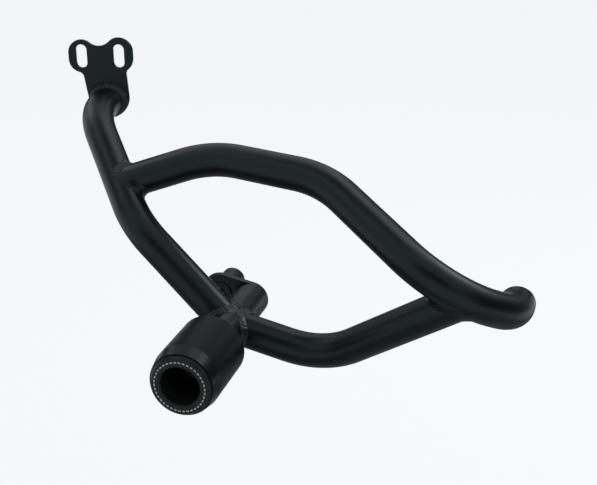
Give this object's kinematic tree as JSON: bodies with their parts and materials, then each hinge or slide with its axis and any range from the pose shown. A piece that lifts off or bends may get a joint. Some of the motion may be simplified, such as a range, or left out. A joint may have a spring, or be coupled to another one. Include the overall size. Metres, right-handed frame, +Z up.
{
  "type": "motorcycle crash bar",
  "caption": "Side crash bar of bent, welded tube for a motorcycle, with a slotted upper plate, a lower ear with a through bush, and a bored polymer slider bolted to a boss at the junction.",
  "frame": {"origin": "midway between the two slots, on the face of the upper plate that bears on the motorcycle", "axes": "+X along the upper plate and, within 16 degrees, along the motorcycle, +Y square to the plate and towards the motorcycle, +Z up"},
  "size_m": [0.3564, 0.2616, 0.2119],
  "materials": {
    "coated_steel": "satin black powder coat",
    "slider_polymer": "turned black polymer",
    "slider_ring": "black anodised",
    "plated_steel": "black zinc plated"
  },
  "bodies": {
    "root": {"upper_mount_plate": "coated_steel", "upright_tube": "coated_steel", "loop_tube": "coated_steel", "lower_tube": "coated_steel", "slider_boss": "coated_steel", "boss_insert": "plated_steel", "lower_mount_ear": "coated_steel", "lower_mount_bush": "coated_steel", "tail_cap": "coated_steel", "plate_weld": "coated_steel", "loop_weld": "coated_steel", "upright_boss_weld": "coated_steel", "lower_boss_weld": "coated_steel", "lower_loop_weld": "coated_steel", "ear_weld": "coated_steel", "bush_weld": "coated_steel", "slider_body": "slider_polymer", "slider_ring": "slider_ring", "slider_washer": "plated_steel", "slider_bolt": "plated_steel"}
  },
  "joints": []
}
